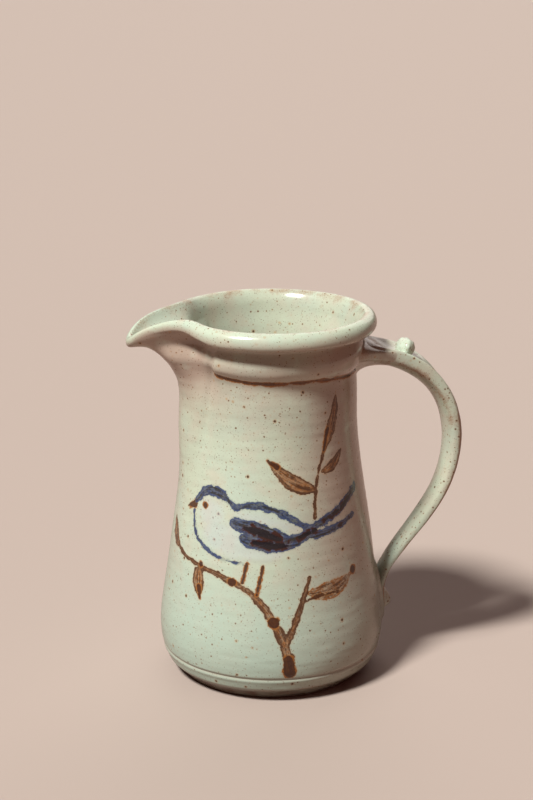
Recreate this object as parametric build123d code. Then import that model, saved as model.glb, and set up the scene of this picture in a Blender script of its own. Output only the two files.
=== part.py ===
from build123d import *
from math import cos, exp, hypot, pi, radians, sin
import os

# A wheel-thrown stoneware pitcher. Millimetres, +Z up, origin at the centre of the flat foot.
# The pouring spout points along -X and the handle stands along +X.

# ---- foot and belly of the thrown body ----
FOOT_RADIUS = 45.4
BEVEL_RADIUS = 51.2
BEVEL_HEIGHT = 7.8
GROOVE_RADIUS = 53.8
GROOVE_HEIGHT = 13.0
GROOVE_DEPTH = 0.7
BELLY_RADIUS = 55.0
BELLY_HEIGHT = 25.0
FLOOR_THICKNESS = 7.0
FLOOR_CORNER_RADIUS = 42.0
FLOOR_CORNER_RISE = 2.5
WALL_AT_BELLY = 7.0
WALL_AT_RIM = 4.6

# ---- rolled lip and pulled spout; angles are azimuths measured from the spout ----
LIP_RADIUS = 46.1
LIP_HEIGHT = 176.7
LIP_ROLL = 3.8
LIP_ROLL_AT_TIP = 2.2
SPOUT_REACH = 21.6
SPOUT_HALF_ANGLE = 16.0
SPOUT_SHARPNESS = 2.3
SPOUT_DROOP = 9.3
DROOP_HALF_ANGLE = 10.0
SHOULDER_RISE = 2.0
SHOULDER_ANGLE = 26.0
SHOULDER_HALF_ANGLE = 14.0
THROAT_HALF_ANGLE = 30.0
THROAT_SHARPNESS = 3.0

# Levels of the wall above the belly: radius and height on the round side, then at the spout.
WALL_LEVELS = [
    (52.3, 46.0, 52.3, 46.0),
    (48.2, 75.0, 48.2, 75.0),
    (43.6, 105.0, 44.9, 105.0),
    (41.3, 130.0, 44.8, 129.0),
    (41.0, 146.0, 45.3, 147.0),
    (41.7, 155.5, 50.0, 156.4),
    (44.2, 163.0, 56.6, 163.2),
    (43.6, 170.3, 62.6, 165.2),
]
THROAT_LEVEL = 2

# The clay is lofted through upright sections, closer together across the spout.
SPOUT_STEP = 4.0
SPOUT_SECTIONS = 10
ROUND_STEP = 10.0
# The floor's middle is a plain disc; the sections start inside its edge.
FLOOR_DISC_RADIUS = 25.0
SECTION_INNER_RADIUS = 22.0

# ---- pulled strap handle ----
# Centre line of the strap in the XZ plane, from inside the collar to the tail on the lower wall.
STRAP_SPINE = [
    (38.5, 159.0), (50.5, 159.4), (61.0, 157.4), (72.2, 151.8), (82.0, 141.8), (88.9, 126.0),
    (90.1, 108.0), (84.3, 86.8), (73.8, 70.0), (63.6, 56.4), (57.5, 46.5), (55.3, 40.0),
    (55.9, 33.5), (57.7, 27.0),
]
STRAP_WIDTH_ROOT = 25.0
STRAP_WIDTH_TAIL = 14.0
STRAP_THICKNESS_ROOT = 12.2
STRAP_THICKNESS_TAIL = 5.6
EDGE_FULLNESS = 0.75
CHANNEL_DEPTH = 1.7
CHANNEL_FLATNESS = 2.5
CHANNEL_RUN_IN = 0.1
ROOT_FLARE = 5.0
ROOT_FLARE_LENGTH = 0.05
# The tail is pressed to the wall by the thumb: wider, hollowed, and thick again at its end.
TAIL_START = 0.84
TAIL_FLARE = 5.0
TAIL_BULB = 2.2
TAIL_END_SHRINK = 0.35
TAIL_END_SHARPNESS = 12
THUMB_PRESS_DEPTH = 1.2
STRAP_OUTLINE_POINTS = 16
STRAP_SECTIONS = 25

# ---- thumb stop, a pellet of clay pressed into the channel ----
THUMB_STOP_PLACE = 0.135
THUMB_STOP_LENGTH = 10.0
THUMB_STOP_WIDTH = 11.5
THUMB_STOP_HEIGHT = 7.5
THUMB_STOP_SINK = 2.6

# ---- coil of clay worked round the strap where it meets the collar ----
COIL_END = 0.075
COIL_SPREAD = 3.4
COIL_EDGE = 0.7
COIL_SECTIONS = 6


def lobe(angle, half_angle, sharpness):
    """A smooth bump over the azimuth: 1 at angle 0, falling to 0 on both sides."""
    return exp(-((abs(angle) / half_angle) ** sharpness))


def lip_centre(angle):
    """Radius, height and roll radius of the lip at an azimuth measured from the spout."""
    radius = LIP_RADIUS + SPOUT_REACH * lobe(angle, SPOUT_HALF_ANGLE, SPOUT_SHARPNESS)
    droop = SPOUT_DROOP * lobe(angle, DROOP_HALF_ANGLE, 2)
    rise = SHOULDER_RISE * lobe(abs(angle) - SHOULDER_ANGLE, SHOULDER_HALF_ANGLE, 2)
    thinning = (LIP_ROLL - LIP_ROLL_AT_TIP) * lobe(angle, THROAT_HALF_ANGLE, 2)
    return radius, LIP_HEIGHT - droop + rise, LIP_ROLL - thinning


def wall_outline(angle):
    """Outer wall points (radius, height) from above the belly to below the lip."""
    lip_share = lobe(angle, SPOUT_HALF_ANGLE, SPOUT_SHARPNESS)
    throat_share = lobe(angle, THROAT_HALF_ANGLE, THROAT_SHARPNESS)
    low = WALL_LEVELS[THROAT_LEVEL][1]
    high = WALL_LEVELS[-1][1]
    points = []
    for round_r, round_z, spout_r, spout_z in WALL_LEVELS:
        climb = max((round_z - low) / (high - low), 0.0)
        share = throat_share + (lip_share - throat_share) * climb ** 2
        points.append((round_r + share * (spout_r - round_r), round_z + share * (spout_z - round_z)))
    return points


def inset(points, first, last):
    """The same outline moved into the clay, by a wall thickness that runs from first to last."""
    moved = []
    for index, (r, z) in enumerate(points):
        before = points[max(index - 1, 0)]
        after = points[min(index + 1, len(points) - 1)]
        run = after[0] - before[0]
        rise = after[1] - before[1]
        length = hypot(run, rise)
        depth = first + (last - first) * index / (len(points) - 1)
        moved.append((r - rise / length * depth, z + run / length * depth))
    return moved


def meridian_face(angle):
    """Section through the clay in the upright plane at an azimuth measured from the spout."""
    radius, height, roll = lip_centre(angle)
    wall = [(BELLY_RADIUS, BELLY_HEIGHT)] + wall_outline(angle)
    below_wall = [(BEVEL_RADIUS, BEVEL_HEIGHT), (GROOVE_RADIUS, GROOVE_HEIGHT)]
    lip = [(radius + roll * cos(turn), height + roll * sin(turn)) for turn in (-pi / 3, 0, pi / 3)]
    crown = (radius + roll * cos(radians(110)), height + roll * sin(radians(110)))
    lip_inside = (radius - 1.1 * roll, height + 0.1 * roll)
    inner_wall = inset(wall, WALL_AT_BELLY, WALL_AT_RIM)
    floor_corner = (FLOOR_CORNER_RADIUS, FLOOR_THICKNESS + FLOOR_CORNER_RISE)
    floor_end = (SECTION_INNER_RADIUS, FLOOR_THICKNESS)
    edges = [
        Line((SECTION_INNER_RADIUS, 0), (FOOT_RADIUS, 0)),
        Line((FOOT_RADIUS, 0), (BEVEL_RADIUS, BEVEL_HEIGHT)),
        Spline(*below_wall, *wall, *lip, crown),
        Spline(crown, lip_inside, *reversed(inner_wall), floor_corner, floor_end),
        Line(floor_end, (SECTION_INNER_RADIUS, 0)),
    ]
    azimuth = radians(180 - angle)
    upright = Plane(
        origin=(0, 0, 0),
        x_dir=(cos(azimuth), sin(azimuth), 0),
        z_dir=(sin(azimuth), -cos(azimuth), 0),
    )
    return upright * make_face(Wire(edges))


def foot_groove():
    """Ring that cuts the thin line incised above the bevelled foot."""
    outside = GROOVE_RADIUS + GROOVE_DEPTH
    mouth = Polyline(
        (GROOVE_RADIUS - GROOVE_DEPTH, 0, GROOVE_HEIGHT),
        (outside, 0, GROOVE_HEIGHT + 2 * GROOVE_DEPTH),
        (outside, 0, GROOVE_HEIGHT - 2 * GROOVE_DEPTH),
        close=True,
    )
    return revolve(make_face(mouth), axis=Axis.Z)


def thrown_body():
    """Floor, wall, collar, lip and pulled spout as one thrown piece."""
    across_spout = SPOUT_STEP * SPOUT_SECTIONS
    round_sections = round((180 - across_spout) / ROUND_STEP) + 1
    azimuths = [index * SPOUT_STEP for index in range(SPOUT_SECTIONS)]
    azimuths += [across_spout + index * ROUND_STEP for index in range(round_sections)]
    half = loft([meridian_face(azimuth) for azimuth in azimuths])
    body = half + mirror(half, about=Plane.XZ)
    body += Pos(0, 0, FLOOR_THICKNESS / 2) * Cylinder(FLOOR_DISC_RADIUS, FLOOR_THICKNESS)
    return body - foot_groove()


def strap_frame(place):
    """Plane square to the strap's centre line at a place from 0 (root) to 1 (tail)."""
    spine = Spline(*[(x, 0, z) for x, z in STRAP_SPINE])
    return Plane(origin=spine @ place, x_dir=(0, 1, 0), z_dir=spine % place)


def strap_size(place):
    """Width and thickness of the strap at a place along it."""
    taper = min(place / TAIL_START, 1.0)
    tail = max(0.0, (place - TAIL_START) / (1 - TAIL_START))
    width = STRAP_WIDTH_ROOT + (STRAP_WIDTH_TAIL - STRAP_WIDTH_ROOT) * taper
    width += ROOT_FLARE * lobe(place, ROOT_FLARE_LENGTH, 2) + TAIL_FLARE * sin(pi / 2 * tail)
    thickness = STRAP_THICKNESS_ROOT + (STRAP_THICKNESS_TAIL - STRAP_THICKNESS_ROOT) * taper
    thickness += TAIL_BULB * tail ** 2
    rounding = 1 - TAIL_END_SHRINK * tail ** TAIL_END_SHARPNESS
    return width * rounding, thickness * rounding


def channel_depth(place):
    """Depth of the channel down the outer face, with the thumb's hollow at the tail."""
    tail = max(0.0, (place - TAIL_START) / (1 - TAIL_START))
    return CHANNEL_DEPTH * min(1.0, place / CHANNEL_RUN_IN) + THUMB_PRESS_DEPTH * sin(pi * tail)


def strap_section(place, grow=0.0):
    """Closed section of the strap: full rounded edges and a channel down the outer face."""
    width, thickness = strap_size(place)
    points = []
    for index in range(STRAP_OUTLINE_POINTS):
        turn = 2 * pi * index / STRAP_OUTLINE_POINTS
        side = 1 if sin(turn) > 0 else -1
        lift = side * (thickness / 2 + grow) * abs(sin(turn)) ** EDGE_FULLNESS
        if side > 0:
            lift -= channel_depth(place) * (1 - abs(cos(turn)) ** CHANNEL_FLATNESS)
        points.append(((width / 2 + grow) * cos(turn), lift))
    return strap_frame(place) * make_face(Wire([Spline(*points, periodic=True)]))


def strap_blank():
    """The whole strap before its ends are fitted to the wall."""
    return loft([strap_section(index / (STRAP_SECTIONS - 1)) for index in range(STRAP_SECTIONS)])


def thumb_stop(strap):
    """Pellet of clay seated in the channel near the top of the strap."""
    seat = strap_size(THUMB_STOP_PLACE)[1] / 2 - CHANNEL_DEPTH - THUMB_STOP_SINK
    pellet = scale(Sphere(0.5), by=(THUMB_STOP_WIDTH, THUMB_STOP_HEIGHT, THUMB_STOP_LENGTH))
    return strap_frame(THUMB_STOP_PLACE) * Pos(0, seat + THUMB_STOP_HEIGHT / 2, 0) * pellet - strap


def upper_joint_coil(strap, body):
    """Flared coil worked round the strap where it meets the collar."""
    sections = []
    for index in range(COIL_SECTIONS):
        share = index / (COIL_SECTIONS - 1)
        grow = COIL_EDGE + (COIL_SPREAD - COIL_EDGE) * (1 - share) ** 2
        sections.append(strap_section(COIL_END * share, grow))
    return largest(loft(sections) - strap - body)


def largest(shape):
    """The largest solid of a shape, without the offcut left inside the vessel."""
    return max(shape.solids(), key=lambda solid: solid.volume)


if __name__ == "__main__":
    os.makedirs("parts", exist_ok=True)
    body = thrown_body()
    strap = strap_blank()
    nodes = {
        "thrown_body": body,
        "strap_handle": largest(strap - body),
        "thumb_stop": thumb_stop(strap),
        "upper_joint_coil": upper_joint_coil(strap, body),
    }
    for name, shape in nodes.items():
        export_step(shape, f"parts/{name}.step")
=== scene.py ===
from math import cos, inf, pi, radians, sin

import bpy
import numpy as np
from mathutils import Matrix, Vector


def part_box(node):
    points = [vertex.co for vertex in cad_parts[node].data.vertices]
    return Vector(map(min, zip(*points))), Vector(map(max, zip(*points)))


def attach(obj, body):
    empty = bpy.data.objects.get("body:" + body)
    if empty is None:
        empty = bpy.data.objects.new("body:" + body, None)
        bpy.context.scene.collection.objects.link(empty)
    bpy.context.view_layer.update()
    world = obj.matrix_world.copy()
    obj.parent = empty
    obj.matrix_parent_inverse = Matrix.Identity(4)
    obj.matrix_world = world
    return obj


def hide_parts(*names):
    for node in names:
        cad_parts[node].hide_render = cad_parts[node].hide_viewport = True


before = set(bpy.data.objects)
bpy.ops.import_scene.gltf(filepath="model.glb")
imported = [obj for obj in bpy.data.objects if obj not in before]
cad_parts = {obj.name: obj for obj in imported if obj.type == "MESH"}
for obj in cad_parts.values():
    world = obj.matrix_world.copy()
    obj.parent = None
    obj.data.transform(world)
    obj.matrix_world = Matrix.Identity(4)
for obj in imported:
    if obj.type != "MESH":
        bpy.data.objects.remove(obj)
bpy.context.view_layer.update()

# A wheel-thrown stoneware pitcher. The shape functions work in millimetres in the row's frame
# (+Z up, spout along -X, handle along +X); MM turns them into Blender's metres. An azimuth is in
# degrees round Z from +X, and phi is the angle in degrees from the spout, 0 to 180.
BODY = "root"

# ---- scale: the sizes below are drawn for this belly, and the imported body's width sets MM ----
DRAWN_BELLY_RADIUS = 55.05
body_low, body_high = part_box("thrown_body")
MM = (body_high.y - body_low.y) / 2 / DRAWN_BELLY_RADIUS

# ---- thrown body: radius and height of the profile ----
CENTRE_RADIUS = 0.4
BEVEL_HEIGHT = 6.2
GROOVE_HEIGHT = 13.0
FOOT_OUTLINE = [(CENTRE_RADIUS, 0), (12, 0), (24, 0), (34, 0), (41, 0), (44.2, 0), (45.1, 0.25), (45.8, 0.95),
                (47.2, 2.4), (49.0, 4.3), (50.5, 5.7), (51.2, 6.4)]
LOWER_WALL = [(51.8, 7.2), (53.8, 13.0), (55.0, 25.0), (52.3, 46.0), (48.2, 75.0)]
# Upper wall: radius and height on the round side, then at the spout, then the throat's half angle.
UPPER_WALL = [
    (43.6, 105.0, 44.9, 105.0, 19.0),
    (41.3, 130.0, 44.8, 129.0, 27.0),
    (41.0, 146.0, 45.3, 147.0, 28.5),
    (41.7, 155.5, 50.0, 156.4, 25.5),
    (44.6, 163.5, 56.6, 162.9, 20.0),
    (43.2, 171.0, 62.4, 165.3, 16.0),
]
THROAT_SHARPNESS = 2.6
WALL_AT_BELLY = 7.0
WALL_AT_RIM = 4.6
FLOOR_THICKNESS = 7.0
FLOOR_OUTLINE = [(42.0, FLOOR_THICKNESS + 2.5), (22.0, FLOOR_THICKNESS + 0.3),
                 (CENTRE_RADIUS, FLOOR_THICKNESS)]
# Extra wall thickness that keeps the inside smooth behind the collar, one value per inner knot.
INNER_FILL = (0, 0, 0, 0, 0, 0, 0.2, 1.7, -1.3)

# ---- rolled lip and spout; angles in degrees from the spout ----
LIP_RADIUS = 46.1
LIP_HEIGHT = 176.3
LIP_ROLL = 3.9
LIP_ROLL_AT_TIP = 2.2
LIP_THIN_ANGLE = 30.0
LIP_UNEVENNESS = 0.25
# Points round the lip's roll: angle up from outward, and reach from the roll's centre in rolls.
LIP_TURNS = [(-48, 1.28), (-4, 1.02), (44, 0.93), (94, 1.0)]
# The point where the roll meets the inner wall: out and up from the roll's centre in rolls.
LIP_INSIDE = (-1.05, 0.15)
SPOUT_REACH = 21.2
SPOUT_HALF_ANGLE = 16.0
SPOUT_SHARPNESS = 2.3
SPOUT_DROOP = 9.1
DROOP_HALF_ANGLE = 10.0
SHOULDER_RISE = 2.2
FAR_SHOULDER_RISE = 1.0
SHOULDER_ANGLE = 26.0
SHOULDER_HALF_ANGLE = 14.0
CREASE_DEPTH = 1.3
HOLLOW_DEPTH = 2.4
# The trough into the spout shifts the two highest inner knots by this much, as (outward, upward).
TROUGH_SHIFTS = [(-1, (-4.5, 1.6)), (-2, (-2.5, 0.8))]
TROUGH_ANGLE = 10.0
TROUGH_HALF_ANGLE = 13.0

# ---- marks of the hand and the wheel: depths, heights, sizes and the throwing spiral's pitch ----
HAND_WOBBLE = 0.16
HAND_WOBBLE_SIZE = 26.0
HAND_MARKS = 0.07
HAND_MARKS_SIZE = (9.0, 9.0, 2.4)
THROWING_PITCH = 5.2
THROWING_DEPTH = 0.020
FINE_THROWING_DEPTH = 0.008
GROOVE_DEPTH = 0.62
GROOVE_BURR = 0.22
COLLAR_LINE_DEPTH = 0.60
COLLAR_BAND_SWELL = 0.45
TAIL_MOUND_HEIGHT = 1.5
# The collar's line and band fade in between these angles from the spout.
ROUND_SIDE = (38, 46)

# ---- strap handle: spine as (x, z); pairs hold the value at the root and at the tail ----
STRAP_SPINE = [(38.5, 159.0), (50.5, 159.4), (61.0, 157.4), (72.2, 151.8), (82.0, 141.8), (88.9, 126.0),
               (90.1, 108.0), (84.3, 86.8), (73.8, 70.0), (63.6, 56.4), (57.3, 46.5), (54.9, 40.0),
               (54.4, 33.5), (54.6, 20.5)]
STRAP_WIDTH = (25.0, 14.0)
STRAP_THICKNESS = (13.8, 6.5)
STRAP_COLUMNS = 80
STRAP_ROWS = 340
ROOT_FLARE = 2.0
TAIL_FLARE = 5.0
CHANNEL_DEPTH = 1.9
ROOT_CHANNEL_EXTRA = 3.1
UNDERSIDE_HOLLOW = 1.3
TAIL_START = 0.84
TAIL_LUMP_HEIGHT = 4.4
TAIL_LUMP_PLACE = 0.966
TAIL_LUMP_SIDE = 2.6
TAIL_LUMP_RADIUS = 3.6
THUMB_GROOVE_DEPTH = 1.3
THUMB_GROOVE_PLACE = 0.93
THUMB_GROOVE_SIDE = -2.8

# ---- pellet and joint coil, which sit on the strap at these places along it ----
STOP_PLACE = 0.142
STOP_SIZE = (4.4, 5.6, 5.0)
STOP_LIFT = 2.0
COIL_ROOT_PLACE = 0.045
COIL_JOIN_PLACE = 0.125
COIL_COLUMNS = 120
COIL_ROWS = 36

# ---- knots of the outline, counted from the bevel: end of the wall, end of the lip, the incised
# line under the collar band and the lowest of the inner wall that shows through the mouth ----
KNOTS_WALL = len(LOWER_WALL) + len(UPPER_WALL)
KNOTS_OVER_LIP = KNOTS_WALL + len(LIP_TURNS) + 1
COLLAR_KNOT = len(LOWER_WALL) + 3
KNOTS_SEEN_INSIDE = KNOTS_OVER_LIP + 5

# ---- mesh density: widest gaps in millimetres between columns, and between rows up to a knot ----
COLUMN_GAP = 2.3
FINE_COLUMN_GAP = 1.3
PAINTED_COLUMN_GAP = 0.74
SPOUT_ZONE = 55
HANDLE_ZONE = 32
PAINTED_ZONE = 70
AZIMUTH_STEP = 0.05
ROW_GAPS = [(2, 0.5), (COLLAR_KNOT - 1, 0.88), (KNOTS_OVER_LIP, 0.6), (KNOTS_SEEN_INSIDE, 1.8), (inf, 3.2)]

# ---- painting: it is laid out in millimetres on the wall unrolled at this radius ----
UNROLL_RADIUS = 50
CANVAS_HALF_WIDTH = 75

# ---- view: the camera stands before the painted side, turned towards the spout ----
TURN_TO_SPOUT = 8.0
VIEW_TURN = radians(TURN_TO_SPOUT)
FRONT_AZIMUTH = -90.0 - TURN_TO_SPOUT
CAMERA_DISTANCE = 0.838
CAMERA_HEIGHT = 0.3815
CAMERA_SIDE = -0.0024
CAMERA_PITCH = radians(16.36)
LENS = 81.45
FLOOR_REACH = 6.0


def lobe(angle, half_angle, sharpness):
    """A smooth bump: 1 at angle 0, falling to 0 on both sides."""
    return np.exp(-((np.abs(angle) / half_angle) ** sharpness))


def smooth_step(low, high, value):
    """0 below low, 1 above high and a smooth rise between them."""
    share = np.clip((value - low) / (high - low), 0, 1)
    return share * share * (3 - 2 * share)


def turned_from(centre, azimuth):
    """Signed angle in degrees from a centre azimuth, -180 to 180."""
    return (azimuth - centre + 180) % 360 - 180


def spline(knots, where):
    """Natural cubic splines through knots (batch, n, k), read at knot coordinates 0..n-1."""
    knots = np.asarray(knots, float)
    batch, count, _ = knots.shape
    step = np.linalg.norm(np.diff(knots, axis=1), axis=2)
    slope = np.diff(knots, axis=1) / step[..., None]
    matrix = np.zeros((batch, count, count))
    right = np.zeros_like(knots)
    matrix[:, 0, 0] = matrix[:, -1, -1] = 1
    for i in range(1, count - 1):
        matrix[:, i, i - 1] = step[:, i - 1]
        matrix[:, i, i] = 2 * (step[:, i - 1] + step[:, i])
        matrix[:, i, i + 1] = step[:, i]
        right[:, i] = 6 * (slope[:, i] - slope[:, i - 1])
    bend = np.linalg.solve(matrix, right)
    seg = np.minimum(where.astype(int), count - 2)
    h = step[:, seg][..., None]
    b = (where - seg)[None, :, None]
    a = 1 - b
    curve = a * knots[:, seg] + b * knots[:, seg + 1]
    return curve + ((a ** 3 - a) * bend[:, seg] + (b ** 3 - b) * bend[:, seg + 1]) * h * h / 6


def value_noise(points, seed):
    """Smooth noise in -1..1 at points (n, 3), one feature per unit."""
    cell = np.floor(points).astype(np.int64)
    part = points - cell
    part = part * part * (3 - 2 * part)
    total = np.zeros(len(points))
    for corner in range(8):
        step = np.array([corner & 1, corner >> 1 & 1, corner >> 2])
        key = (cell + step) @ np.array([73856093, 19349663, 83492791]) + seed * 2654435
        key = (key ^ (key >> 13)) * 1274126177 & 0x7FFFFFFF
        key = (key ^ (key >> 16)) & 0xFFFF
        weight = np.prod(np.where(step, part, 1 - part), axis=1)
        total += weight * (key / 0x7FFF - 1)
    return total


def noise_round(steps, offset, seed):
    """Smooth noise in -1..1 along a line of values, such as the steps round the wall."""
    return value_noise(np.stack([steps, 0 * steps + offset, 0 * steps], 1), seed)


def new_mesh(name, points, faces, attributes):
    """A smooth-shaded mesh object from points in millimetres, with float fields per point."""
    mesh = bpy.data.meshes.new(name)
    mesh.from_pydata((np.asarray(points) * MM).tolist(), [], faces)
    mesh.validate()
    mesh.polygons.foreach_set("use_smooth", [True] * len(mesh.polygons))
    for key, values in attributes.items():
        layer = mesh.attributes.new(key, "FLOAT", "POINT")
        layer.data.foreach_set("value", np.ascontiguousarray(values, np.float32))
    return link(name, mesh)


def link(name, data):
    """An object with this data in the scene."""
    thing = bpy.data.objects.new(name, data)
    bpy.context.scene.collection.objects.link(thing)
    return thing


def grid_faces(rows, columns):
    """Quads between the rows of a grid whose last column joins the first."""
    faces = []
    for row in range(rows - 1):
        for col in range(columns):
            near = (col + 1) % columns
            faces.append((row * columns + col, row * columns + near,
                          (row + 1) * columns + near, (row + 1) * columns + col))
    return faces


def grid_normals(grid):
    """Unit normals of a grid of points (rows, columns, 3) whose columns wrap round."""
    along = np.gradient(grid, axis=0)
    across = np.roll(grid, -1, axis=1) - np.roll(grid, 1, axis=1)
    normal = np.cross(across, along)
    length = np.linalg.norm(normal, axis=2, keepdims=True)
    return normal / np.maximum(length, 1e-9)


# ======================================================================= thrown body
def wall_azimuths():
    """Azimuths in degrees, closest together over the painted front, then by spout and handle."""
    fine = np.linspace(-180, 180, round(360 / AZIMUTH_STEP) + 1)[:-1]
    gap = np.full(len(fine), COLUMN_GAP)
    gap = np.where(180 - np.abs(fine) < SPOUT_ZONE, FINE_COLUMN_GAP, gap)
    gap = np.where(np.abs(fine) < HANDLE_ZONE, FINE_COLUMN_GAP, gap)
    gap = np.where(np.abs(turned_from(FRONT_AZIMUTH, fine)) < PAINTED_ZONE, PAINTED_COLUMN_GAP, gap)
    count = np.concatenate([[0], np.cumsum(radians(AZIMUTH_STEP) * UNROLL_RADIUS / gap)])
    total = int(round(count[-1]))
    return np.interp(np.arange(total) * count[-1] / total, count, np.append(fine, 180.0))


def lip_centre(phi, near):
    """Radius, height and roll of the lip; near is 1 on the painted side and 0 on the far side."""
    radius = LIP_RADIUS + SPOUT_REACH * lobe(phi, SPOUT_HALF_ANGLE, SPOUT_SHARPNESS)
    height = LIP_HEIGHT - SPOUT_DROOP * lobe(phi, DROOP_HALF_ANGLE, 2)
    rise = FAR_SHOULDER_RISE + (SHOULDER_RISE - FAR_SHOULDER_RISE) * near
    height += rise * lobe(np.abs(phi) - SHOULDER_ANGLE, SHOULDER_HALF_ANGLE, 2)
    height += LIP_UNEVENNESS * np.sin(np.radians(2 * phi) + 0.6)
    roll = LIP_ROLL - (LIP_ROLL - LIP_ROLL_AT_TIP) * lobe(phi, LIP_THIN_ANGLE, 2)
    return radius, height, roll


def section_knots(phi, near):
    """Outline of the clay from the bevel up, over the lip and down to the middle of the floor."""
    count = len(phi)
    wall = [np.tile(p, (count, 1)).astype(float) for p in LOWER_WALL]
    for round_r, round_z, spout_r, spout_z, half_angle in UPPER_WALL:
        share = lobe(phi, half_angle, THROAT_SHARPNESS)
        wall.append(np.stack([round_r + share * (spout_r - round_r),
                              round_z + share * (spout_z - round_z)], 1))
    wall = np.stack(wall, 1)
    radius, height, roll = lip_centre(phi, near)
    lip = []
    for turn, reach in LIP_TURNS:
        lip.append(np.stack([radius + reach * roll * cos(radians(turn)),
                             height + reach * roll * sin(radians(turn))], 1))
    lip.append(np.stack([radius + LIP_INSIDE[0] * roll, height + LIP_INSIDE[1] * roll], 1))
    inner = wall[:, 2:]
    tangent = np.gradient(inner, axis=1)
    tangent /= np.linalg.norm(tangent, axis=2, keepdims=True)
    depth = np.linspace(WALL_AT_BELLY, WALL_AT_RIM, inner.shape[1]) + np.array(INNER_FILL)
    inner = inner + np.stack([-tangent[..., 1], tangent[..., 0]], 2) * depth[None, :, None]
    trough = lobe(phi - TROUGH_ANGLE, TROUGH_HALF_ANGLE, 2.5)
    for knot, shift in TROUGH_SHIFTS:
        inner[:, knot] += trough[:, None] * shift
    floor = [np.tile(p, (count, 1)).astype(float) for p in FLOOR_OUTLINE]
    return np.concatenate([wall, np.stack(lip, 1), inner[:, ::-1], np.stack(floor, 1)], 1)


def section_rows():
    """Knot coordinates of the rows, close together where the surface turns or is painted."""
    knots = section_knots(np.array([180.0]), np.array([1.0]))[0]
    rows = []
    for i in range(len(knots) - 1):
        length = np.linalg.norm(knots[i + 1] - knots[i])
        gap = next(widest for last, widest in ROW_GAPS if i < last)
        steps = max(2, int(length / gap))
        rows += list(i + np.arange(steps) / steps)
    return np.array(rows + [len(knots) - 1.0])


def distance_from_collar(r, z, knot, phi):
    """Distance up the outline from the incised line under the collar band, which runs unevenly."""
    steps = np.hypot(np.diff(r, axis=0), np.diff(z, axis=0))
    length = np.concatenate([np.zeros((1, len(phi))), np.cumsum(steps, 0)])
    at_collar = length[np.argmin(np.abs(knot - COLLAR_KNOT))]
    return length - (at_collar + 2.2 * lobe(phi - 40, 16, 2) - 1.9 * smooth_step(105, 150, phi))


def crease_field(phi, z):
    """Depth of the hollow and crease that part the throat from the round wall."""
    centre = np.interp(z, [100, 112, 124, 146, 158, 172], [19, 27, 33, 37, 40, 43])
    strength = smooth_step(100, 150, z) * (1 - smooth_step(163, 174, z))
    width = np.interp(z, [100, 140, 158, 170], [6.5, 4.6, 3.2, 3.2])
    crease = CREASE_DEPTH * strength * lobe(phi - centre, width, 2)
    hollow = HOLLOW_DEPTH * smooth_step(138, 160, z) * lobe(phi - 30, 9.5, 2.4)
    return crease + hollow


def tail_mound(grid):
    """Clay drawn up round the strap's tail, where it is pressed to the wall."""
    x, y, z = grid[..., 0], grid[..., 1], grid[..., 2]
    half_width = np.interp(z, [20, 26, 32, 46, 60], [4.0, 8.0, 9.0, 7.8, 6.8])
    beside = np.maximum(np.abs(y) - half_width, 0)
    height = smooth_step(17.5, 23, z) * (1 - smooth_step(44, 56, z))
    return (x > 0) * height * TAIL_MOUND_HEIGHT * lobe(beside, 3.0, 1.5)


def wall_relief(grid, azimuth, phi, knot, from_collar):
    """How far the clay stands out from the smooth outline: hand marks, lines, band and crease."""
    z = grid[..., 2]
    outer = ((knot >= 0) & (knot <= KNOTS_WALL))[:, None] * 1.0
    inner = (knot > KNOTS_OVER_LIP)[:, None] * 1.0
    on_round_side = outer * smooth_step(*ROUND_SIDE, phi)
    flat = grid.reshape(-1, 3)
    wobble = value_noise(flat / HAND_WOBBLE_SIZE, 3).reshape(z.shape)
    fine = value_noise(flat / np.array(HAND_MARKS_SIZE), 5).reshape(z.shape)
    push = HAND_WOBBLE * wobble + HAND_MARKS * fine
    spiral = 2 * pi * (z / THROWING_PITCH - azimuth[None] / 360)
    push += THROWING_DEPTH * np.sin(spiral + 2 * wobble) * smooth_step(18, 40, z) * (outer + inner)
    push += FINE_THROWING_DEPTH * np.sin(2 * spiral + 3 * wobble) * (outer + inner)
    push -= outer * GROOVE_DEPTH * lobe(z - GROOVE_HEIGHT, 0.55, 2)
    push += outer * GROOVE_BURR * lobe(z - GROOVE_HEIGHT + 1.5, 1.1, 2)
    push -= on_round_side * COLLAR_LINE_DEPTH * lobe(from_collar + 0.2, 0.8, 2)
    push += on_round_side * COLLAR_BAND_SWELL * lobe(from_collar - 3.6, 2.4, 2)
    crease = crease_field(phi, z)
    push += crease * (0.5 * inner - outer)
    push += outer * tail_mound(grid)
    return push * smooth_step(0.3, 5.0, z) * (knot[:, None] >= 0)


def thrown_body_mesh():
    """The thrown vessel with its throwing lines, incised grooves and creased throat."""
    azimuth = wall_azimuths()
    phi = np.abs((azimuth + 360) % 360 - 180)
    near = (azimuth < 0) * 1.0
    rows = section_rows()
    foot = np.tile(np.array(FOOT_OUTLINE, float)[None], (len(phi), 1, 1))
    outline = np.concatenate([foot, spline(section_knots(phi, near), rows)], 1)
    knot = np.concatenate([np.full(len(FOOT_OUTLINE), -1.0), rows])
    r = outline[..., 0].T
    z = outline[..., 1].T
    turn = np.radians(azimuth)[None]
    grid = np.stack([r * np.cos(turn), r * np.sin(turn), z], 2)
    from_collar = distance_from_collar(r, z, knot, phi)
    phi_grid = phi[None] + 0 * z
    push = wall_relief(grid, azimuth, phi_grid, knot, from_collar)
    grid = grid + grid_normals(grid) * push[..., None]
    fields = body_fields(grid, azimuth, phi_grid, knot, from_collar)
    return new_mesh("pitcher_body", grid.reshape(-1, 3), body_faces(*z.shape), fields)


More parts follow.
